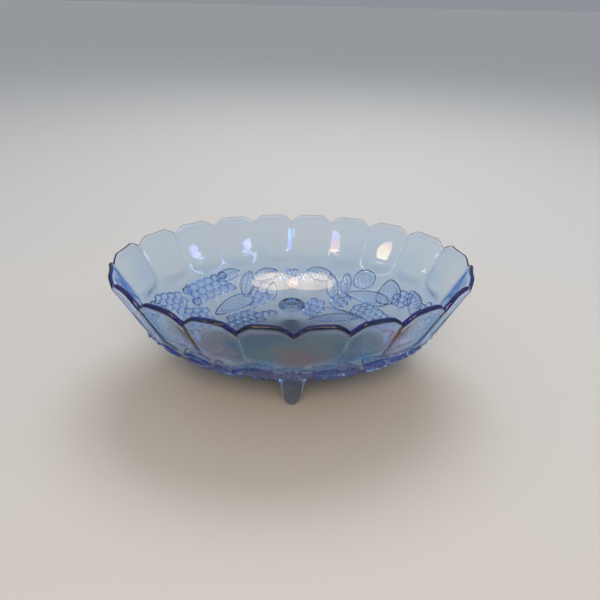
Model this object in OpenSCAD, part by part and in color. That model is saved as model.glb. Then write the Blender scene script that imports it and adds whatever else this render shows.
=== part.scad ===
// Oval footed fruit bowl in pressed glass, with a scalloped lip, a fluted wall and fruit in
// low relief under the belly. Lengths are in millimetres and angles in degrees.
// The origin is on the table under the middle of the bowl. X runs along the oval, -Y is the
// front and Z points up. Places round the bowl are counted in flutes, from 0 at the front
// towards +X.

/* [Oval] */
// Length between the two end notches of the lip
oval_length = 309.6; // [298:0.2:318]
// Width between the two side notches of the lip
oval_width = 200; // [192:0.2:208]
// Height of the lip at its notches
notch_height = 102; // [98:1:106]
// Rise of each scallop above the notches
scallop_rise = 7; // [4:0.5:8]
// How far the wall leans out at the two ends
end_lean = 23.5; // [21:0.5:25]
// How far the wall leans out at the two sides
side_lean = 19; // [17:0.5:21]

/* [Flutes] */
// How deep each flute is scooped out, measured from the flat between its two edges
flute_scoop = 1.8; // [1:0.2:2.6]
// Height where the flutes run out into the belly
flute_foot = 60; // [54:1:64]

/* [Glass] */
// Thickness of the wall
wall_glass = 4.8; // [4:0.2:5.6]
// Thickness of the floor
floor_glass = 6.4; // [5:0.2:7]
// Height of the underside of the floor
floor_height = 16; // [14:0.5:18]
// Height where the rounded belly runs into the straight wall
belly_top = 66; // [62:1:70]

/* [Feet] */
// Distance of the front and back feet from the middle
side_foot_reach = 61; // [58:0.5:63]
// Distance of the left and right feet from the middle
end_foot_reach = 97; // [93:0.5:99]
// Height of the middle of each foot's root on the belly
foot_root_height = 25; // [24:0.5:27]
// Width of each foot where it meets the belly
foot_root_width = 28; // [24:1:30]
// Depth of each foot where it meets the belly
foot_root_depth = 17; // [14:1:20]
// Width of each foot halfway down
foot_width = 19.4; // [17:0.2:21]
// Width of the flat that each foot stands on
foot_flat_width = 4.6; // [3:0.2:6]

/* [Relief] */
// Height of the pears, leaves, apples and stems above the belly
fruit_relief = 2.6; // [1.8:0.1:3.2]
// Height of a grape above the belly, as a share of its diameter
grape_relief = 0.34; // [0.24:0.02:0.4]

/* [Hidden] */
flutes = 20;
columns_per_flute = 8;
belly_rings = 12;
wall_rings = 5;
lip_steps = 4;
belly_rise = belly_top - floor_height;
// Height over which a flute reaches its full depth
flute_run_out = 8;
// Share of each half scallop that slopes down to the notch, and how round the slope is
notch_share = 0.52;
notch_curve = 1.5;
glass_blue = [0.45, 0.65, 0.95, 0.55];
foot_blue = [0.62, 0.78, 0.98, 0.7];
relief_blue = [0.3, 0.5, 0.9, 0.8];

SIDES = ["front", "right", "back", "left"];
// Motifs of one long side, where the flute place is for the back. The front has the same
// ones half a turn round. Each is [name, kind, flute place, height, length, width, turn],
// and for grapes the diameter of one grape.
MOTIFS = [
    ["large_grapes", "grapes", 12.75, 46, 50, 29, -8, 8.4],
    ["low_grapes", "grapes", 12.45, 20.5, 62, 16, -4, 7.6],
    ["end_grapes", "grapes", 13.95, 31.5, 28, 24, 30, 7.6],
    ["long_pear", "pear", 12.35, 29.5, 48, 15, -14],
    ["curled_leaf", "leaf", 11.5, 43, 32, 13, -62],
    ["small_grapes", "grapes", 6.55, 28, 48, 17, 8, 6.8],
    ["short_pear", "pear", 7.25, 38, 44, 15, -2],
    ["apple", "apple", 7.7, 52, 22, 22, 0],
    ["upright_leaf", "leaf", 8.6, 41, 30, 12, 66],
    ["low_leaf", "leaf", 7.75, 20.5, 44, 13, -24],
    ["end_leaf", "leaf", 5.75, 48, 36, 14, 34],
    ["middle_grapes", "grapes", 9, 24, 32, 21, 12, 8],
    ["crown_grapes", "grapes", 10, 47, 26, 14, 0, 6.4],
    ["hanging_grapes", "grapes", 11.25, 33, 30, 18, -50, 7.2],
    ["side_grapes", "grapes", 8.1, 31, 22, 16, 30, 6.8],
    ["corner_grapes", "grapes", 14.15, 48, 30, 20, 24, 7.4],
    ["upper_grapes", "grapes", 5, 50, 36, 16, 0, 7],
    ["climbing_grapes", "grapes", 6.22, 46, 20, 24, 0, 7.2],
    ["broad_pear", "pear", 6.75, 47, 30, 22, 64],
    ["fan_leaf", "leaf", 9.1, 51, 30, 14, 12],
    ["crown_leaf", "leaf", 10.85, 50, 28, 13, -14],
    ["upper_leaf", "leaf", 12.0, 53.5, 28, 12, -12],
    ["inner_leaf", "leaf", 8.2, 45, 24, 11, 78],
    ["root_leaf", "leaf", 10.72, 35, 22, 10, -72],
    ["left_stem", "stem", 13.4, 44, 28, 4, -78],
    ["low_stem", "stem", 7.35, 24, 52, 3.6, 4],
];
HALVES = ["back", "front"];

// The oval, divided into equal lengths of rim ------------------------------------------

oval_a = oval_length / 2;
oval_b = oval_width / 2;
ARC_STEPS = 720;

function oval_point(angle) = [oval_a * cos(angle), oval_b * sin(angle)];

// Rows of [length so far, angle], from the front round towards +X
ARC = [
    for (i = 0, length = 0; i <= ARC_STEPS;
         length = length + norm(oval_point((i + 1) * 360 / ARC_STEPS - 90)
                                - oval_point(i * 360 / ARC_STEPS - 90)),
         i = i + 1)
        [length, i * 360 / ARC_STEPS - 90]
];
rim_length = ARC[ARC_STEPS][0];
flute_pitch = rim_length / flutes;

function wrap(place) = place - flutes * floor(place / flutes);

function oval_angle(place) = lookup(wrap(place) * flute_pitch, ARC);

// Outer surface ------------------------------------------------------------------------
// level runs from 0 at the middle of the underside to 1 at the top of the belly and 2 at
// the lip.

function clamp(value) = min(1, max(0, value));

function ease(value) = let (v = clamp(value)) v * v * (3 - 2 * v);

// 0 in the middle of a flute and 1 on the edges on both sides of it
function off_middle(place) = abs(2 * (place - floor(place)) - 1);

function scallop(place) =
    1 - pow(clamp((off_middle(place) - 1 + notch_share) / notch_share), notch_curve);

// The wall ends under the half-round lip
function wall_height(place) = notch_height + scallop_rise * scallop(place) - wall_glass / 2;

function level_height(place, level) =
    level < 1
        ? belly_top - belly_rise * cos(90 * level)
        : belly_top + (level - 1) * (wall_height(place) - belly_top);

function belly_level(height) = acos((belly_top - height) / belly_rise) / 90;

function reach(half, lean, height) = half - (notch_height - height) * tan(lean);

// Depth of a flute's middle below the oval: the rise of the oval's arc, and the scoop
function flute_depth(angle) =
    let (arc_radius = pow(norm([oval_a * sin(angle), oval_b * cos(angle)]), 3) / (oval_a * oval_b))
    pow(flute_pitch, 2) / (8 * arc_radius) + flute_scoop;

function outer(place, level) =
    let (
        angle = oval_angle(place),
        height = level_height(place, level),
        share = sqrt(sin(90 * min(level, 1))),
        out = [cos(angle) / oval_a, sin(angle) / oval_b],
        run_out = ease((height - flute_foot) / flute_run_out),
        dent = flute_depth(angle) * (1 - pow(off_middle(place), 2)) * run_out
    )
    [
        share * reach(oval_a, end_lean, height) * cos(angle) - dent * out.x / norm(out),
        share * reach(oval_b, side_lean, height) * sin(angle) - dent * out.y / norm(out),
        height
    ];

step = 0.01;

function along(place, level) = outer(place + step, level) - outer(place - step, level);

function upward(place, level) =
    outer(place, min(level + step, 2)) - outer(place, min(level + step, 2) - 2 * step);

function unit(v) = v / norm(v);

function normal(place, level) = unit(cross(along(place, level), upward(place, level)));

// Bowl shell ---------------------------------------------------------------------------

function glass_at(level) = wall_glass + (floor_glass - wall_glass) * (1 - ease(level));

function inner(place, level) = outer(place, level) - glass_at(level) * normal(place, level);

// The half-round lip, from the outer face over to the inner one
function lip(place, turn) =
    let (
        side = normal(place, 2),
        up = unit(upward(place, 2)),
        middle = outer(place, 2) - side * wall_glass / 2
    )
    middle + (cos(turn) * side + sin(turn) * up) * wall_glass / 2;

// One column of points, from low on the outside, over the lip and down the inside
function shell_column(place) = [
    for (i = [1:belly_rings]) outer(place, i / belly_rings),
    for (i = [1:wall_rings]) outer(place, 1 + i / wall_rings),
    for (i = [1:lip_steps - 1]) lip(place, 180 * i / lip_steps),
    for (i = [wall_rings:-1:1]) inner(place, 1 + i / wall_rings),
    for (i = [belly_rings:-1:1]) inner(place, i / belly_rings)
];

module bowl_shell() {
    columns = flutes * columns_per_flute;
    rows = len(shell_column(0));
    last = columns * rows;
    points = [
        for (c = [0:columns - 1]) each shell_column(c / columns_per_flute),
        [0, 0, floor_height],
        [0, 0, floor_height + floor_glass]
    ];
    faces = [
        for (c = [0:columns - 1])
            let (here = c * rows, next = (c + 1) % columns * rows)
                each [
                    [last, here, next],
                    [last + 1, next + rows - 1, here + rows - 1],
                    for (r = [0:rows - 2]) each [
                        [here + r, here + r + 1, next + r + 1],
                        [here + r, next + r + 1, next + r]
                    ]
                ]
    ];
    color(glass_blue)
        polyhedron(points, faces);
}

// Feet ---------------------------------------------------------------------------------

foot_corners = 20;
foot_depth_share = 0.54;
// Height over which a foot swells from its flat to its full width
foot_swell = 7;
// Height where a foot starts to flare out into the belly, and its rings below and above
foot_flare_start = 14;
tongue_rings = 7;
flare_rings = 4;

function foot_half_width(height) =
    foot_width / 2 - (foot_width - foot_flat_width) / 2 * exp(-height / foot_swell);

// A level ring of a foot, which is at a distance from the middle of the bowl on a heading
function foot_ring(height, distance, heading) =
    let (half = foot_half_width(height))
    [
        for (i = [0:foot_corners - 1])
            let (
                turn = 360 * i / foot_corners,
                out = distance + half * foot_depth_share * cos(turn),
                side = half * sin(turn)
            )
            [
                out * cos(heading) - side * sin(heading),
                out * sin(heading) + side * cos(heading),
                height
            ]
    ];

// The foot's root lies on the belly, round the flute place of its middle
function foot_root(place, share) =
    let (
        level = belly_level(foot_root_height),
        du = share * foot_root_width / 2 / norm(along(place, level)) * 2 * step,
        dv = share * foot_root_depth / 2 / norm(upward(place, level)) * 2 * step
    )
    [
        for (i = [0:foot_corners - 1])
            let (turn = 360 * i / foot_corners)
                outer(place + du * sin(turn), level + dv * cos(turn))
    ];

module foot(side) {
    place = side * flutes / 4;
    heading = side * 90 - 90;
    distance = side % 2 == 0 ? side_foot_reach : end_foot_reach;
    root = foot_root(place, 1);
    neck = foot_ring(foot_flare_start, distance, heading);
    rings = [
        for (i = [0:tongue_rings - 1])
            foot_ring(foot_flare_start * pow(i / tongue_rings, 1.5), distance, heading),
        for (i = [0:flare_rings])
            let (rise = i / flare_rings, spread = pow(rise, 2))
                [for (c = [0:foot_corners - 1]) [
                    neck[c].x + (root[c].x - neck[c].x) * spread,
                    neck[c].y + (root[c].y - neck[c].y) * spread,
                    neck[c].z + (root[c].z - neck[c].z) * rise
                ]],
        foot_root(place, 0.5)
    ];
    points = [for (ring = rings) each ring, outer(place, belly_level(foot_root_height))];
    top = len(rings) - 1;
    faces = [
        [for (i = [foot_corners - 1:-1:0]) i],
        for (r = [0:top - 1], i = [0:foot_corners - 1])
            let (j = (i + 1) % foot_corners, low = r * foot_corners, high = low + foot_corners)
                each [[low + i, low + j, high + j], [low + i, high + j, high + i]],
        for (i = [0:foot_corners - 1])
            [top * foot_corners + i, top * foot_corners + (i + 1) % foot_corners, len(points) - 1]
    ];
    color(foot_blue)
        polyhedron(points, [for (face = faces) [for (i = [len(face) - 1:-1:0]) face[i]]]);
}

// Fruit in relief ----------------------------------------------------------------------

patch_rings = 4;
patch_corners = 24;
// How much wider a pear is at its full end, and how deep an apple's middle sinks
pear_taper = 0.35;
apple_dimple = 0.4;
apple_dimple_share = 0.33;

grape_detail = 32;
// Radius of a grape where it meets the belly, as a share of the distance between grapes
grape_base = 0.46;
// Distance between staggered rows of round grapes, as a share of the same distance
grape_row = 0.87;

// Place and level of a point that lies p mm along the rim and q mm up from a middle
function near(place, level, p, q) =
    let (v = level + q * 2 * step / norm(upward(place, level)))
    [place + p * 2 * step / norm(along(place, v)), v];

function turned(p, q, turn) = [p * cos(turn) - q * sin(turn), p * sin(turn) + q * cos(turn)];

// Half outline widths: a pear is fuller at one end, a leaf is pointed at both
function outline(kind, length, width, turn) =
    kind == "pear" ? [length / 2 * cos(turn), width / 2 * sin(turn) * (1 - pear_taper * cos(turn))]
    : kind == "leaf" ? [length / 2 * cos(turn), width / 2 * sin(turn) * sqrt(abs(sin(turn)))]
    : [length / 2 * cos(turn), width / 2 * sin(turn)];

function dome(kind, share) =
    sqrt(1 - share * share)
    * (kind == "apple" ? 1 - apple_dimple * clamp(1 - share / apple_dimple_share) : 1);

// A rounded patch of glass that stands on the outer surface. Its upper rings end on the
// rim of its lower ones.
module raised_patch(kind, place, height, length, width, turn) {
    level = belly_level(height);
    function spot(share, corner, rise) =
        let (
            flat = share * outline(kind, length, width, 360 * corner / patch_corners),
            pq = turned(flat.x, flat.y, turn),
            at = near(place, level, pq.x, pq.y)
        )
        outer(at.x, at.y) + rise * normal(at.x, at.y);
    upper = [
        for (r = [1:patch_rings], c = [0:patch_corners - 1])
            let (share = r / patch_rings)
                spot(share, c, fruit_relief * dome(kind, share))
    ];
    lower = [
        for (r = [1:patch_rings - 1], c = [0:patch_corners - 1])
            spot(r / patch_rings, c, 0)
    ];
    rim = (patch_rings - 1) * patch_corners;
    under = len(upper);
    top = under + len(lower);
    function below(r, c) = r == patch_rings - 1 ? rim + c : under + r * patch_corners + c;
    faces = [
        for (c = [0:patch_corners - 1])
            let (d = (c + 1) % patch_corners)
                each [
                    [top, d, c],
                    [top + 1, below(0, c), below(0, d)],
                    for (r = [0:patch_rings - 2])
                        let (low = r * patch_corners, high = low + patch_corners)
                            each [
                                [low + c, low + d, high + d],
                                [low + c, high + d, high + c],
                                [below(r, c), below(r + 1, d), below(r, d)],
                                [below(r, c), below(r + 1, c), below(r + 1, d)]
                            ]
                ]
    ];
    polyhedron([each upper, each lower, spot(0, 0, fruit_relief * dome(kind, 0)), spot(0, 0, 0)], faces);
}

// A grape: the cap of a sphere on the outer surface
module grape(place, level, diameter) {
    rise = diameter * grape_relief;
    // Radius of the sphere whose cap has the grape's height and base
    radius = (pow(grape_base * diameter, 2) + rise * rise) / (2 * rise);
    out = normal(place, level);
    side = unit(along(place, level));
    up = cross(out, side);
    middle = outer(place, level);
    multmatrix([
        [side.x, up.x, out.x, middle.x],
        [side.y, up.y, out.y, middle.y],
        [side.z, up.z, out.z, middle.z],
        [0, 0, 0, 1]
    ])
        intersection() {
            translate([0, 0, rise - radius])
                sphere(radius, $fn = grape_detail);
            cylinder(rise + 1, d = diameter, $fn = grape_detail);
        }
}

// Grapes in staggered rows that fill an oval outline
module grape_cluster(place, height, length, width, turn, diameter) {
    level = belly_level(height);
    row_pitch = diameter * grape_row;
    rows = ceil(width / row_pitch);
    across = ceil(length / diameter);
    for (r = [-rows:rows], c = [-across:across]) {
        p = (c + (r % 2 == 0 ? 0 : 0.5)) * diameter;
        q = r * row_pitch;
        if (norm([2 * p / length, 2 * q / width]) < 1) {
            pq = turned(p, q, turn);
            at = near(place, level, pq.x, pq.y);
            grape(at.x, at.y, diameter);
        }
    }
}

module relief(motif, half) {
    place = motif[2] + half * flutes / 2;
    color(relief_blue)
        if (motif[1] == "grapes")
            grape_cluster(place, motif[3], motif[4], motif[5], motif[6], motif[7]);
        else
            raised_patch(motif[1], place, motif[3], motif[4], motif[5], motif[6]);
}

bowl_shell();
for (side = [0:3])
    foot(side);
for (half = [0:1], motif = MOTIFS)
    relief(motif, half);
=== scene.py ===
"""The looks of the oval footed fruit bowl: pale blue pressed glass with an iridescent film.

The shapes are worked out in millimetres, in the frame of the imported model, and made into
meshes in metres. Places round the bowl are counted in flutes, from 0 at the front towards
+X. Levels run from 0 under the middle of the floor to 1 at the top of the belly and 2 at
the lip.
"""

import math
from collections import namedtuple

import bpy
import numpy as np
from mathutils import Matrix, Vector

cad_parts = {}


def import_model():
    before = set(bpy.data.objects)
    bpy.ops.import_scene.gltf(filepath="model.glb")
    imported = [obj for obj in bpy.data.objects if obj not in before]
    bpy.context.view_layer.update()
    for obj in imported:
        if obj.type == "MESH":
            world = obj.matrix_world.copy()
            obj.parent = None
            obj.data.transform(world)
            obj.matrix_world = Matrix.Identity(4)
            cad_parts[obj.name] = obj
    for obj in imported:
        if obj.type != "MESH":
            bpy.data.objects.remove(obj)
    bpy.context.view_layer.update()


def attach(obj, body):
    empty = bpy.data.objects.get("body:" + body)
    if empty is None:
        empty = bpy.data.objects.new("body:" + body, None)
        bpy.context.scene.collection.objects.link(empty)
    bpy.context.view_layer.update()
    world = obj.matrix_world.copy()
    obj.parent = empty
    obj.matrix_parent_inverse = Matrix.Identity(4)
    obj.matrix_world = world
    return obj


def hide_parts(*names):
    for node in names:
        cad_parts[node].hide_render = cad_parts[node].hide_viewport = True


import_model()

MM = 0.001

# The oval and its wall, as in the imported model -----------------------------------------

OVAL_A = 154.8
OVAL_B = 100.0
FLUTES = 20
NOTCH_HEIGHT = 102.0
SCALLOP_RISE = 7.0
# The share of a half flute over which the lip dips to a notch, and the curve of the dip
NOTCH_SHARE = 0.52
NOTCH_CURVE = 1.5
END_LEAN = math.radians(23.5)
SIDE_LEAN = math.radians(19)
FLOOR_HEIGHT = 16.0
BELLY_TOP = 66.0
BELLY_RISE = BELLY_TOP - FLOOR_HEIGHT
WALL_GLASS = 4.8
LIP_GLASS = 4.0
FLOOR_GLASS = 6.4

# How far the middle of a flute lies inside a straight line between its edges
FLUTE_SCOOP = 1.8
# A face of the glass: how round its edges between flutes are, in half flutes, the height
# where a flute ends, how much higher it ends at its corners, and the height over which it
# reaches its full depth
Face = namedtuple("Face", "edge foot corner_rise run_out")
OUTSIDE = Face(edge=0.05, foot=58.0, corner_rise=6.0, run_out=14.0)
INSIDE = Face(edge=0.2, foot=52.0, corner_rise=0.0, run_out=26.0)
# The lip stands proud of the face by the bead, which fades over this depth
LIP_BEAD = 0.4
LIP_BEAD_DEPTH = 4.0
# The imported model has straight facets, so the smooth one lies a little inside it
SKIN = 0.3

ARC_STEPS = 1440
ARC_ANGLES = np.linspace(-math.pi / 2, 1.5 * math.pi, ARC_STEPS + 1)
ARC_POINTS = np.stack([OVAL_A * np.cos(ARC_ANGLES), OVAL_B * np.sin(ARC_ANGLES)], axis=1)
ARC_LENGTHS = np.concatenate([[0], np.cumsum(np.linalg.norm(np.diff(ARC_POINTS, axis=0), axis=1))])
FLUTE_PITCH = ARC_LENGTHS[-1] / FLUTES


def clamp(value):
    """The value, kept between 0 and 1."""
    return np.clip(value, 0, 1)


def ease(value):
    """A smooth step from 0 to 1 while the value runs from 0 to 1."""
    v = clamp(value)
    return v * v * (3 - 2 * v)


def unit(vectors):
    """The vectors, each made 1 long."""
    return vectors / np.linalg.norm(vectors, axis=-1, keepdims=True)


def off_middle(place, edge):
    """0 in the middle of a flute and 1 on its edges, which are rounded."""
    away = 1 - np.abs(2 * (place - np.floor(place)) - 1)
    return 1 - (np.sqrt(away**2 + edge**2) - edge) / (math.sqrt(1 + edge**2) - edge)


def wall_height(place):
    """Height where the wall ends and the half-round lip starts."""
    slope = clamp((off_middle(place, OUTSIDE.edge) - 1 + NOTCH_SHARE) / NOTCH_SHARE)
    return NOTCH_HEIGHT + SCALLOP_RISE * (1 - slope**NOTCH_CURVE) - LIP_GLASS / 2


def rim_angle(place):
    """The angle in the oval's equation of a place, since flutes are equally long."""
    return np.interp(np.mod(place, FLUTES) * FLUTE_PITCH, ARC_LENGTHS, ARC_ANGLES)


def flute_depth(place, height, face):
    """How far the flutes are scooped in. The middle of a flute is deepest."""
    angle = rim_angle(place)
    arc_radius = np.hypot(OVAL_A * np.sin(angle), OVAL_B * np.cos(angle)) ** 3 / (OVAL_A * OVAL_B)
    # The middle of a chord lies inside its arc by its length squared over 8 radii
    depth = FLUTE_PITCH**2 / (8 * arc_radius) + FLUTE_SCOOP
    off = off_middle(place, face.edge)
    run_out = ease((height - face.foot - face.corner_rise * off**4) / face.run_out)
    return depth * (1 - off**2) * run_out


def surface(place, level, face=OUTSIDE):
    """Points of the oval's outer surface, with flutes that are shaped for a face."""
    angle = rim_angle(place)
    belly = BELLY_TOP - BELLY_RISE * np.cos(math.pi / 2 * level)
    wall = BELLY_TOP + (level - 1) * (wall_height(place) - BELLY_TOP)
    height = np.where(level < 1, belly, wall)
    below_lip = wall_height(place) - height
    bead = LIP_BEAD * (1 - np.exp(-((below_lip / LIP_BEAD_DEPTH) ** 2)))
    dent = SKIN + flute_depth(place, height, face) + bead
    share = np.sqrt(np.sin(math.pi / 2 * np.minimum(level, 1)))
    out = unit(np.stack([np.cos(angle) / OVAL_A, np.sin(angle) / OVAL_B], axis=-1))
    reach_a = OVAL_A - (NOTCH_HEIGHT - height) * math.tan(END_LEAN)
    reach_b = OVAL_B - (NOTCH_HEIGHT - height) * math.tan(SIDE_LEAN)
    x = share * reach_a * np.cos(angle) - dent * out[..., 0]
    y = share * reach_b * np.sin(angle) - dent * out[..., 1]
    return np.stack([x, y, height], axis=-1)


# The step that slopes are measured with, in flutes and in levels
STEP = 0.02
# Levels that a chart keeps within
CHART_LEVELS = (0.05, 1.95)


def along(place, level, face=OUTSIDE):
    """The way along the rim, over two steps."""
    return surface(place + STEP, level, face) - surface(place - STEP, level, face)


def upward(place, level, face=OUTSIDE):
    """The way up the wall, over two steps."""
    high = np.minimum(level + STEP, 2)
    return surface(place, high, face) - surface(place, high - 2 * STEP, face)


def normal(place, level, face=OUTSIDE):
    """The way straight out of the surface."""
    return unit(np.cross(along(place, level, face), upward(place, level, face)))


def inner(place, level):
    """Points of the inner face, one thickness of glass in from the surface."""
    glass = WALL_GLASS + (FLOOR_GLASS - WALL_GLASS) * (1 - ease(level))
    glass = glass - (WALL_GLASS - LIP_GLASS) * ease(level - 1)
    return surface(place, level, INSIDE) - glass[..., None] * normal(place, level, INSIDE)


def belly_level(height):
    """The level of a height on the belly."""
    return math.acos((BELLY_TOP - height) / BELLY_RISE) * 2 / math.pi


def chart(place, level, p, q):
    """The outer face's points and normals p mm along the rim and q mm up from a middle."""
    rise_of_level = np.linalg.norm(upward(np.array(place), np.array(level))) / (2 * STEP)
    levels = np.clip(level + q / rise_of_level, *CHART_LEVELS)
    length_of_flute = np.linalg.norm(along(np.full_like(levels, place), levels), axis=-1) / (2 * STEP)
    places = place + p / length_of_flute
    return surface(places, levels), normal(places, levels)


# Meshes --------------------------------------------------------------------------------


def piece_of(node, points, faces, material):
    """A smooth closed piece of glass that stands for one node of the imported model."""
    name = "glass_" + node
    mesh = bpy.data.meshes.new(name)
    mesh.from_pydata((np.asarray(points) * MM).tolist(), [], faces)
    mesh.validate()
    mesh.update()
    mesh.shade_smooth()
    mesh.materials.append(material)
    piece = bpy.data.objects.new(name, mesh)
    bpy.context.scene.collection.objects.link(piece)
    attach(piece, "root")
    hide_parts(node)
    return piece


def grid_faces(rows, columns, wrap=False):
    """Quads of a grid of points, row by row. wrap joins the last column to the first."""
    faces = []
    for r in range(rows - 1):
        for c in range(columns if wrap else columns - 1):
            d = (c + 1) % columns
            low = r * columns
            high = low + columns
            faces.append((low + c, low + d, high + d, high + c))
    return faces


def fan_faces(start, columns, tip):
    """Triangles from a closed ring of points to a tip."""
    return [(start + c, start + (c + 1) % columns, tip) for c in range(columns)]


def slab(top, base, kept):
    """A closed mesh between two grids of the same size, over the cells that touch a kept point."""
    columns = top.shape[1]
    count = top.shape[0] * columns
    full = kept[:-1, :-1] | kept[1:, :-1] | kept[:-1, 1:] | kept[1:, 1:]
    faces = [face for face, used in zip(grid_faces(*top.shape[:2]), full.ravel()) if used]
    edges = {edge for face in faces for edge in zip(face, face[1:] + face[:1])}
    rim = [edge for edge in edges if edge[::-1] not in edges]
    faces += [tuple(i + count for i in face[::-1]) for face in faces]
    faces += sorted((there, here, here + count, there + count) for here, there in rim)
    used, order = np.unique(faces, return_inverse=True)
    points = np.concatenate([top.reshape(-1, 3), base.reshape(-1, 3)])[used]
    return points, order.reshape(-1, 4).tolist()


# Materials -----------------------------------------------------------------------------

GLASS_IOR = 1.52
# Absorption per metre is the density times 1 minus the colour
GLASS_TINT = (0.0, 0.46, 0.97, 1)
SHELL_DENSITY = 68.0
FOOT_DENSITY = 20.0
# Waves per metre, and finer layers on them, of the glass's haze and film and of its ripple
WAVES_SCALE = 22.0
WAVES_DETAIL = 2.0
RIPPLE_SCALE = 60.0
RIPPLE_DETAIL = 3.0
# Height of the ripple in metres, and its strength on each kind of piece
RIPPLE_RISE = 0.0006
SHELL_RIPPLE = 0.15
FOOT_RIPPLE = 0.2
RELIEF_RIPPLE = 0.1
MOST_ROUGHNESS = 0.05
# Thickness of the film in nanometres, and the part of the waves that it follows
FILM_IOR = 1.9
FILM_MEAN = 222.0
FILM_SPREAD = 150.0
WAVES_LOW = 0.25
WAVES_HIGH = 0.75
# The film fades in above the belly and out again just below the lip, in levels
FILM_FOOT = 0.6
FILM_FADE = 0.4
LIP_FADE = 0.15


def noise(tree, scale, detail):
    """Noise that is fixed to the glass."""
    place = tree.nodes.new("ShaderNodeTexCoord")
    texture = tree.nodes.new("ShaderNodeTexNoise")
    texture.inputs["Scale"].default_value = scale
    texture.inputs["Detail"].default_value = detail
    tree.links.new(place.outputs["Object"], texture.inputs["Vector"])
    return texture


def add_film(tree, shader, waves):
    """A thin film whose thickness follows the waves, where the mesh says that there is film."""
    thickness = tree.nodes.new("ShaderNodeMapRange")
    thickness.inputs["From Min"].default_value = WAVES_LOW
    thickness.inputs["From Max"].default_value = WAVES_HIGH
    thickness.inputs["To Min"].default_value = FILM_MEAN - FILM_SPREAD / 2
    thickness.inputs["To Max"].default_value = FILM_MEAN + FILM_SPREAD / 2
    tree.links.new(waves.outputs["Fac"], thickness.inputs["Value"])
    share = tree.nodes.new("ShaderNodeAttribute")
    share.attribute_name = "film"
    film = tree.nodes.new("ShaderNodeMath")
    film.operation = "MULTIPLY"
    tree.links.new(share.outputs["Fac"], film.inputs[0])
    tree.links.new(thickness.outputs["Result"], film.inputs[1])
    tree.links.new(film.outputs["Value"], shader.inputs["Thin Film Thickness"])
    shader.inputs["Thin Film IOR"].default_value = FILM_IOR


def add_ripple(tree, shader, strength):
    """The slight unevenness that pressing leaves."""
    ripple = noise(tree, RIPPLE_SCALE, RIPPLE_DETAIL)
    bump = tree.nodes.new("ShaderNodeBump")
    bump.inputs["Strength"].default_value = strength
    bump.inputs["Distance"].default_value = RIPPLE_RISE
    tree.links.new(ripple.outputs["Fac"], bump.inputs["Height"])
    tree.links.new(bump.outputs["Normal"], shader.inputs["Normal"])


def add_roughness(tree, shader, waves):
    """A slight haze that comes and goes."""
    haze = tree.nodes.new("ShaderNodeMapRange")
    haze.inputs["To Max"].default_value = MOST_ROUGHNESS
    tree.links.new(waves.outputs["Fac"], haze.inputs["Value"])
    tree.links.new(haze.outputs["Result"], shader.inputs["Roughness"])


def add_absorption(tree, density):
    """Blue that deepens with the way through the glass."""
    depth = tree.nodes.new("ShaderNodeVolumeAbsorption")
    depth.inputs["Color"].default_value = GLASS_TINT
    depth.inputs["Density"].default_value = density
    tree.links.new(depth.outputs["Volume"], tree.nodes["Material Output"].inputs["Volume"])


def glass_material(name, ripple, density, filmed=False):
    """Clear pressed glass, with or without the iridescent film."""
    material = bpy.data.materials.new(name)
    material.use_nodes = True
    tree = material.node_tree
    shader = tree.nodes["Principled BSDF"]
    shader.inputs["Base Color"].default_value = (1, 1, 1, 1)
    shader.inputs["IOR"].default_value = GLASS_IOR
    shader.inputs["Transmission Weight"].default_value = 1
    waves = noise(tree, WAVES_SCALE, WAVES_DETAIL)
    if filmed:
        add_film(tree, shader, waves)
    add_ripple(tree, shader, ripple)
    add_roughness(tree, shader, waves)
    add_absorption(tree, density)
    return material


shell_glass = glass_material("shell_glass", SHELL_RIPPLE, SHELL_DENSITY, filmed=True)
foot_glass = glass_material("foot_glass", FOOT_RIPPLE, FOOT_DENSITY)
relief_glass = glass_material("relief_glass", RELIEF_RIPPLE, SHELL_DENSITY)

# Shell ---------------------------------------------------------------------------------

COLUMNS_PER_FLUTE = 36
# How much closer together the columns lie at the edges of the flutes, where 0 is even
EDGE_CROWDING = 0.5
BELLY_ROWS = 80
WALL_ROWS = 42
LIP_STEPS = 12
# Level of the first ring round the middle of the floor
FIRST_LEVEL = 0.02
# The low pebbles between the fruit: their number along a flute and up the belly, their
# height in mm and the levels over which they fade in and out
PEBBLES_ALONG = 8
PEBBLES_UP = 13
PEBBLE_RISE = 0.4
GROUND_FOOT = 0.1
GROUND_TOP = 0.86
GROUND_FADE = 0.14


def lip(place, turn):
    """The half-round lip, from the outer face over to the inner one."""
    top = np.full_like(place, 2.0)
    middle = (surface(place, top) + inner(place, top)) / 2
    side = surface(place, top) - middle
    up = unit(upward(place, top)) * (np.linalg.norm(side, axis=-1, keepdims=True) - SKIN)
    return middle + math.cos(turn) * side + math.sin(turn) * up


def pebbles(place, level):
    """Height of the pebbled ground above the smooth belly."""
    fade_in = ease((level - GROUND_FOOT) / GROUND_FADE)
    fade_out = ease((GROUND_TOP - level) / GROUND_FADE)
    waves_along = np.cos(2 * math.pi * PEBBLES_ALONG * place)
    waves_up = np.cos(2 * math.pi * PEBBLES_UP * level)
    return PEBBLE_RISE * fade_in * fade_out * waves_along * waves_up


def shell_levels():
    """Levels of the rings up one face. The belly has more of them, for its pebbles."""
    belly = np.linspace(FIRST_LEVEL, 1, BELLY_ROWS)
    wall = 1 + (np.arange(WALL_ROWS) + 1) / WALL_ROWS
    return np.concatenate([belly, wall])


def film_share(level):
    """How much of the film there is on the outer face, from 0 to 1."""
    return ease((level - FILM_FOOT) / FILM_FADE) * clamp((2 - level) / LIP_FADE)


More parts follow.
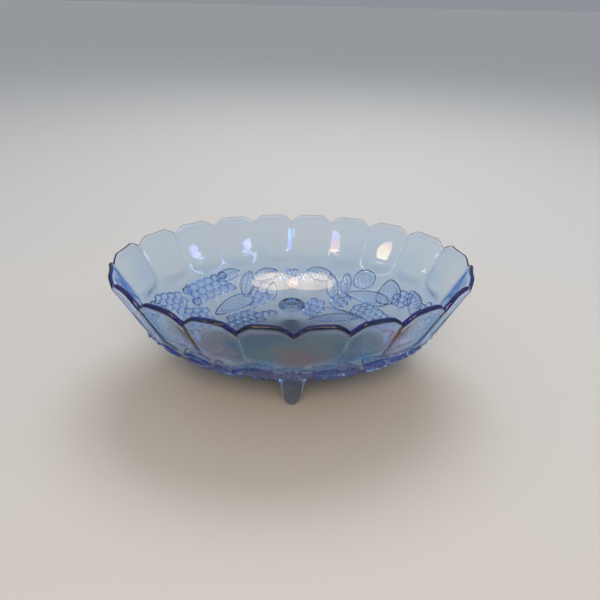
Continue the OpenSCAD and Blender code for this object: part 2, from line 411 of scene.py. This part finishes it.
def shell():
    """Rings up the outer face, over the lip and down the inner face, closed at both ends."""
    columns = FLUTES * COLUMNS_PER_FLUTE
    even = np.arange(columns) / COLUMNS_PER_FLUTE
    places = even - EDGE_CROWDING * np.sin(2 * math.pi * even) / (2 * math.pi)
    levels = shell_levels()
    rings = []
    for level in levels:
        ring = np.full(columns, level)
        rings.append(surface(places, ring) + pebbles(places, level)[:, None] * normal(places, ring))
    for i in range(1, LIP_STEPS):
        rings.append(lip(places, math.pi * i / LIP_STEPS))
    for level in levels[::-1]:
        rings.append(inner(places, np.full(columns, level)))
    poles = [[0, 0, FLOOR_HEIGHT], [0, 0, FLOOR_HEIGHT + FLOOR_GLASS]]
    points = np.concatenate([*rings, poles])
    faces = grid_faces(len(rings), columns, wrap=True)
    faces += [face[::-1] for face in fan_faces(0, columns, len(points) - 2)]
    faces += fan_faces((len(rings) - 1) * columns, columns, len(points) - 1)
    piece = piece_of("bowl_shell", points, faces, shell_glass)
    shares = np.zeros(len(points))
    shares[: len(levels) * columns] = np.repeat(film_share(levels), columns)
    piece.data.attributes.new("film", "FLOAT", "POINT").data.foreach_set("value", shares)


shell()

# Feet ----------------------------------------------------------------------------------

SIDES = ("front", "right", "back", "left")
# Distance of a foot from the middle, on the short axis and on the long one
SIDE_FOOT_REACH = 61.0
END_FOOT_REACH = 97.0
# The oval where a foot meets the belly
ROOT_HEIGHT = 25.0
ROOT_WIDTH = 28.0
ROOT_DEPTH = 17.0
FOOT_WIDTH = 19.4
FLAT_WIDTH = 4.6
FOOT_DEPTH_SHARE = 0.54
# Height by which a foot has done two thirds of its swell, from its flat to its full width
FOOT_SWELL = 7.0
# 2 is an oval foot and more is squarer
FOOT_SQUARENESS = 2.7
FLARE_START = 14.0
# How late the flare spreads out, where 1 is a straight cone
FLARE_LATENESS = 2.4
# The sunk panel on the outward face of a foot, with its fine stipple
PANEL_DEPTH = 0.9
PANEL_SHARE = 0.72
PANEL_FOOT = 2.4
PANEL_TOP = 15.0
# Widths over which the panel sinks: as a share of the foot, at its foot and at its top
PANEL_SIDE_FADE = 0.2
PANEL_FOOT_FADE = 2.0
PANEL_TOP_FADE = 3.0
STIPPLE_RISE = 0.22
STIPPLE_PITCH = 2.2
FOOT_CORNERS = 96
FOOT_TURN = np.arange(FOOT_CORNERS) * 2 * math.pi / FOOT_CORNERS
TONGUE_RINGS = 34
# How much closer together the rings of the tongue are near its tip, where 1 is even
TIP_CROWDING = 1.6
FLARE_RINGS = 20
# Depth of the root's back face inside the wall, and the sizes of the rings on it
ROOT_SINK = 1.6
ROOT_SHARES = (1, 0.66, 0.33)


def panel_recess(side, share, height):
    """Depth of the panel, where side and share say how far across the foot a place is.

    The side is in mm from its middle and the share is of its half width.
    """
    across = ease((PANEL_SHARE - share) / PANEL_SIDE_FADE)
    above_foot = ease((height - PANEL_FOOT) / PANEL_FOOT_FADE)
    below_top = ease((PANEL_TOP - height) / PANEL_TOP_FADE)
    waves = np.cos(2 * math.pi * side / STIPPLE_PITCH) * math.cos(2 * math.pi * height / STIPPLE_PITCH)
    return across * above_foot * below_top * (PANEL_DEPTH - STIPPLE_RISE * waves)


def foot_ring(height, reach, heading):
    """A ring round the tongue of a foot, with the panel on its outward side."""
    half = FOOT_WIDTH / 2 - (FOOT_WIDTH - FLAT_WIDTH) / 2 * math.exp(-height / FOOT_SWELL)
    outward = np.cos(FOOT_TURN)
    sideways = np.sin(FOOT_TURN)
    depth_share = np.abs(outward) ** (2 / FOOT_SQUARENESS)
    width_share = np.abs(sideways) ** (2 / FOOT_SQUARENESS)
    side = half * np.sign(sideways) * width_share
    recess = (outward > 0) * panel_recess(side, width_share, height)
    out = reach + half * FOOT_DEPTH_SHARE * np.sign(outward) * depth_share - recess
    x = out * math.cos(heading) - side * math.sin(heading)
    y = out * math.sin(heading) + side * math.cos(heading)
    return np.stack([x, y, np.full(FOOT_CORNERS, height)], axis=-1)


def foot_root(place, share, sink):
    """A ring where a foot meets the belly, at a share of its size and sunk into the wall."""
    p = share * ROOT_WIDTH / 2 * np.sin(FOOT_TURN)
    q = share * ROOT_DEPTH / 2 * np.cos(FOOT_TURN)
    points, normals = chart(place, belly_level(ROOT_HEIGHT), p, q)
    return points - sink * normals


def foot(side):
    """A tongue that stands on the table, and a flare from its neck to the belly."""
    place = side * FLUTES / len(SIDES)
    heading = math.radians(side * 90 - 90)
    reach = END_FOOT_REACH if side % 2 else SIDE_FOOT_REACH
    rings = []
    for i in range(TONGUE_RINGS):
        height = FLARE_START * (i / TONGUE_RINGS) ** TIP_CROWDING
        rings.append(foot_ring(height, reach, heading))
    neck = foot_ring(FLARE_START, reach, heading)
    root = foot_root(place, 1, 0)
    for i in range(FLARE_RINGS + 1):
        rise = i / FLARE_RINGS
        spread = rise**FLARE_LATENESS
        rings.append(neck + (root - neck) * np.array([spread, spread, rise]))
    for share in ROOT_SHARES:
        rings.append(foot_root(place, share, ROOT_SINK))
    middle = foot_root(place, 0, ROOT_SINK)[:1]
    points = np.concatenate([*rings, middle])
    faces = grid_faces(len(rings), FOOT_CORNERS, wrap=True)
    faces.append(tuple(range(FOOT_CORNERS))[::-1])
    faces += fan_faces((len(rings) - 1) * FOOT_CORNERS, FOOT_CORNERS, len(points) - 1)
    piece_of("foot_" + SIDES[side], points, faces, foot_glass)


for side in range(len(SIDES)):
    foot(side)

# Fruit in relief -----------------------------------------------------------------------

HALVES = ("back", "front")
# Motifs of one long side, where the flute place is for the back. The front has the same
# ones half a turn round. Each is name, kind, flute place, height, length, width, turn and
# the diameter of one grape.
MOTIFS = (
    ("large_grapes", "grapes", 12.75, 46, 50, 29, -8, 8.4),
    ("low_grapes", "grapes", 12.45, 20.5, 62, 16, -4, 7.6),
    ("end_grapes", "grapes", 13.95, 31.5, 28, 24, 30, 7.6),
    ("long_pear", "pear", 12.35, 29.5, 48, 15, -14, 0),
    ("curled_leaf", "leaf", 11.5, 43, 32, 13, -62, 0),
    ("small_grapes", "grapes", 6.55, 28, 48, 17, 8, 6.8),
    ("short_pear", "pear", 7.25, 38, 44, 15, -2, 0),
    ("apple", "apple", 7.7, 52, 22, 22, 0, 0),
    ("upright_leaf", "leaf", 8.6, 41, 30, 12, 66, 0),
    ("low_leaf", "leaf", 7.75, 20.5, 44, 13, -24, 0),
    ("end_leaf", "leaf", 5.75, 48, 36, 14, 34, 0),
    ("middle_grapes", "grapes", 9, 24, 32, 21, 12, 8),
    ("crown_grapes", "grapes", 10, 47, 26, 14, 0, 6.4),
    ("hanging_grapes", "grapes", 11.25, 33, 30, 18, -50, 7.2),
    ("side_grapes", "grapes", 8.1, 31, 22, 16, 30, 6.8),
    ("corner_grapes", "grapes", 14.15, 48, 30, 20, 24, 7.4),
    ("upper_grapes", "grapes", 5, 50, 36, 16, 0, 7),
    ("climbing_grapes", "grapes", 6.22, 46, 20, 24, 0, 7.2),
    ("broad_pear", "pear", 6.75, 47, 30, 22, 64, 0),
    ("fan_leaf", "leaf", 9.1, 51, 30, 14, 12, 0),
    ("crown_leaf", "leaf", 10.85, 50, 28, 13, -14, 0),
    ("upper_leaf", "leaf", 12, 53.5, 28, 12, -12, 0),
    ("inner_leaf", "leaf", 8.2, 45, 24, 11, 78, 0),
    ("root_leaf", "leaf", 10.72, 35, 22, 10, -72, 0),
    ("left_stem", "stem", 13.4, 44, 28, 4, -78, 0),
    ("low_stem", "stem", 7.35, 24, 52, 3.6, 4, 0),
)
FRUIT_RELIEF = 2.6
# Height of a grape, and of one row of grapes, as shares of a grape's diameter
GRAPE_RELIEF = 0.36
GRAPE_ROW = 0.87
PEAR_TAPER = 0.35
# The groove that runs round a fruit inside its outline: its depth in mm, and its place and
# width as shares of the fruit's size
GROOVE_DEPTH = 0.7
GROOVE_SHARE = 0.7
GROOVE_WIDTH = 0.09
# The dimple in the middle of an apple and the ring round it, in mm
DIMPLE_DEPTH = 1.3
DIMPLE_WIDTH = 2.6
RING_RISE = 0.5
RING_RADIUS = 4.4
RING_WIDTH = 0.9
# A leaf's height as a share of a fruit's, how pointed its outline is, and its teeth,
# midrib and veins
LEAF_SHARE = 0.6
LEAF_POINT = 0.75
TOOTH_SHARE = 0.1
TOOTH_PITCH = 3.4
RIB_RISE = 0.9
RIB_WIDTH = 0.8
VEIN_RISE = 0.5
VEIN_PITCH = 4.2
VEIN_SLANT = 0.9
# Half width of a leaf at its tips, which keeps it from being 0
LEAST_WIDTH = 0.001
# Spacing of the relief's grid, the ground it has round a motif, the depth of its back face
# inside the wall, and the depth of its front face where there is no motif
RELIEF_GRID = 0.55
EDGE_MARGIN = 1.2
RELIEF_SINK = 1.5
SKIN_SINK = 0.35


def bump(distance, width):
    """A smooth round bump of height 1."""
    return np.exp(-((distance / width) ** 2))


def grape_heights(p, q, length, width, diameter):
    """Round grapes in staggered rows that fill an oval."""
    row_pitch = diameter * GRAPE_ROW
    rows = math.ceil(width / row_pitch)
    across = math.ceil(length / diameter)
    heights = np.full(p.shape, -SKIN_SINK)
    for r in range(-rows, rows + 1):
        for c in range(-across, across + 1):
            x = (c + 0.5 * (r % 2)) * diameter
            y = r * row_pitch
            if math.hypot(2 * x / length, 2 * y / width) < 1:
                away = np.hypot(p - x, q - y) / (diameter / 2)
                dome = diameter * GRAPE_RELIEF * np.sqrt(np.maximum(1 - away**2, 0))
                heights = np.where(away < 1, np.maximum(heights, dome), heights)
    return heights


def fruit_heights(kind, p, q, length, width):
    """A pear that is fuller at one end, a stem, or an apple with a dimple in its middle."""
    taper = PEAR_TAPER if kind == "pear" else 0
    half_width = width / 2 * (1 - taper * np.clip(2 * p / length, -1, 1))
    away = np.hypot(2 * p / length, q / half_width)
    heights = FRUIT_RELIEF * np.sqrt(np.maximum(1 - away**2, 0))
    heights -= GROOVE_DEPTH * bump(away - GROOVE_SHARE, GROOVE_WIDTH)
    if kind == "apple":
        radius = np.hypot(p, q)
        heights -= DIMPLE_DEPTH * bump(radius, DIMPLE_WIDTH)
        heights += RING_RISE * bump(radius - RING_RADIUS, RING_WIDTH)
    return np.where(away < 1, heights, -SKIN_SINK)


def leaf_heights(p, q, length, width):
    """A pointed leaf with a raised midrib, herringbone veins and a toothed edge."""
    run = np.clip(2 * p / length, -1, 1)
    teeth = 1 + TOOTH_SHARE * np.sin(2 * math.pi * p / TOOTH_PITCH)
    half_width = np.maximum(width / 2 * (1 - run**2) ** LEAF_POINT * teeth, LEAST_WIDTH)
    away = np.abs(q) / half_width
    body = FRUIT_RELIEF * LEAF_SHARE * np.sqrt(np.maximum(1 - away**4, 0))
    rib = RIB_RISE * bump(q, RIB_WIDTH)
    vein_place = (p - np.abs(q) * VEIN_SLANT) / VEIN_PITCH
    veins = VEIN_RISE * np.cos(2 * math.pi * vein_place) * (1 - away**2)
    inside = (away < 1) & (np.abs(p) < length / 2)
    return np.where(inside, body + rib + veins, -SKIN_SINK)


def grid_line(half_length):
    """Even places on both sides of 0."""
    count = int(half_length / RELIEF_GRID)
    return np.arange(-count, count + 1) * RELIEF_GRID


def relief(motif, half):
    """One motif, which stands on the belly and is sunk into its wall."""
    name, kind, place, height, length, width, turn, diameter = motif
    margin = diameter / 2 + EDGE_MARGIN
    p, q = np.meshgrid(grid_line(length / 2 + margin), grid_line(width / 2 + margin))
    if kind == "grapes":
        rise = grape_heights(p, q, length, width, diameter)
    elif kind == "leaf":
        rise = leaf_heights(p, q, length, width)
    else:
        rise = fruit_heights(kind, p, q, length, width)
    lean = math.radians(turn)
    around = p * math.cos(lean) - q * math.sin(lean)
    up = p * math.sin(lean) + q * math.cos(lean)
    ground, out = chart(place + half * FLUTES / 2, belly_level(height), around, up)
    top = ground + rise[..., None] * out
    points, faces = slab(top, ground - RELIEF_SINK * out, rise > -SKIN_SINK)
    piece_of(f"{HALVES[half]}_{name}", points, faces, relief_glass)


for half in range(len(HALVES)):
    for motif in MOTIFS:
        relief(motif, half)

# Stage, in metres ----------------------------------------------------------------------

FLOOR_HALF = 40.0
FLOOR_GREY = (0.52, 0.52, 0.51, 1)
FLOOR_ROUGHNESS = 0.7

# The point that every light looks at
BOWL_MIDDLE = Vector((0, 0, 0.05))
LAMP_CREAM = (1.0, 0.66, 0.34)
WINDOW_CREAM = (1.0, 0.80, 0.56)
WINDOW_BLUE = (0.46, 0.67, 1.0)
NEAR_WHITE = (0.95, 0.97, 1.0)
# Lights that show in the glass. Each is name, heading in degrees from the front towards
# +X, height in degrees, distance, size, watts and colour.
LAMPS = (
    ("left_lamp", -9.5, 49, 1.3, (0.36, 0.62), 3.4, LAMP_CREAM),
    ("right_lamp", 9.5, 49, 1.3, (0.36, 0.62), 3.4, LAMP_CREAM),
    ("cool_window", 34, 9, 2.0, (0.55, 0.26), 3.4, WINDOW_BLUE),
    ("warm_window", -38, 12, 2.0, (0.6, 0.18), 1.6, WINDOW_CREAM),
)
# The light from behind falls on the floor and doesn't show in the glass
BACK_LIGHT = ("back_light", 165, 60, 1.6, (1.2, 0.7), 14, NEAR_WHITE)

# The room's colour at the horizon and overhead, and how far up the second one starts,
# where 0 is level and 1 is straight up
ROOM_LOW = (0.36, 0.38, 0.42, 1)
ROOM_HIGH = (0.80, 0.84, 0.90, 1)
ROOM_HIGH_START = 0.75
ROOM_STRENGTH = 0.75

# In mm
SENSOR_WIDTH = 36
LENS = 27.9

CAMERA_PLACE = (-0.0041, -0.3515, 0.2940)
# In degrees: down from level, to the right of straight back, and tilted to the side
CAMERA_PITCH = 32.74
CAMERA_HEADING = 1.78
CAMERA_ROLL = 1.26


def floor():
    """A plain pale floor that reaches to the horizon."""
    corners = [
        (-FLOOR_HALF, -FLOOR_HALF, 0),
        (FLOOR_HALF, -FLOOR_HALF, 0),
        (FLOOR_HALF, FLOOR_HALF, 0),
        (-FLOOR_HALF, FLOOR_HALF, 0),
    ]
    mesh = bpy.data.meshes.new("studio_floor")
    mesh.from_pydata(corners, [], [(0, 1, 2, 3)])
    material = bpy.data.materials.new("studio_floor")
    material.use_nodes = True
    shader = material.node_tree.nodes["Principled BSDF"]
    shader.inputs["Base Color"].default_value = FLOOR_GREY
    shader.inputs["Roughness"].default_value = FLOOR_ROUGHNESS
    mesh.materials.append(material)
    stage = bpy.data.objects.new("studio_floor", mesh)
    bpy.context.scene.collection.objects.link(stage)


def softbox(name, heading, height, distance, size, watts, colour):
    """An oval soft light that looks at the middle of the bowl."""
    light = bpy.data.lights.new(name, "AREA")
    light.shape = "ELLIPSE"
    light.size, light.size_y = size
    light.energy = watts
    light.color = colour
    lamp = bpy.data.objects.new(name, light)
    reach = distance * math.cos(math.radians(height))
    away = Vector((
        reach * math.sin(math.radians(heading)),
        -reach * math.cos(math.radians(heading)),
        distance * math.sin(math.radians(height)),
    ))
    lamp.location = BOWL_MIDDLE + away
    lamp.rotation_euler = (-away).to_track_quat("-Z", "Y").to_euler()
    bpy.context.scene.collection.objects.link(lamp)
    return lamp


def lights():
    """The lamps that show in the glass, and the one that doesn't."""
    for lamp in LAMPS:
        softbox(*lamp)
    fill = softbox(*BACK_LIGHT)
    fill.visible_glossy = False
    fill.visible_transmission = False


def world():
    """A soft room that is dim low down and brighter overhead."""
    scene = bpy.context.scene
    scene.world = bpy.data.worlds.new("studio")
    scene.world.use_nodes = True
    tree = scene.world.node_tree
    sky = tree.nodes["Background"]
    sky.inputs["Strength"].default_value = ROOM_STRENGTH
    place = tree.nodes.new("ShaderNodeTexCoord")
    split = tree.nodes.new("ShaderNodeSeparateXYZ")
    ramp = tree.nodes.new("ShaderNodeValToRGB")
    low, high = ramp.color_ramp.elements
    low.position = 0.0
    low.color = ROOM_LOW
    high.position = ROOM_HIGH_START
    high.color = ROOM_HIGH
    tree.links.new(place.outputs["Generated"], split.inputs["Vector"])
    tree.links.new(split.outputs["Z"], ramp.inputs["Fac"])
    tree.links.new(ramp.outputs["Color"], sky.inputs["Color"])


def camera():
    """A phone camera held in front of the bowl, a little to the left and tilted down."""
    data = bpy.data.cameras.new("camera")
    data.sensor_width = SENSOR_WIDTH
    data.lens = LENS
    view = bpy.data.objects.new("camera", data)
    heading = Matrix.Rotation(math.radians(-CAMERA_HEADING), 4, "Z")
    pitch = Matrix.Rotation(math.radians(90 - CAMERA_PITCH), 4, "X")
    roll = Matrix.Rotation(math.radians(CAMERA_ROLL), 4, "Z")
    view.matrix_world = Matrix.Translation(CAMERA_PLACE) @ heading @ pitch @ roll
    bpy.context.scene.collection.objects.link(view)
    bpy.context.scene.camera = view


floor()
lights()
world()
camera()

settings = bpy.context.scene.cycles
settings.max_bounces = 24
settings.transmission_bounces = 24
settings.glossy_bounces = 8
settings.transparent_max_bounces = 8
settings.sample_clamp_indirect = 8
# The glass shades the floor under it, which the relief needs to stand out
settings.caustics_refractive = False
bpy.context.scene.view_settings.view_transform = "Standard"
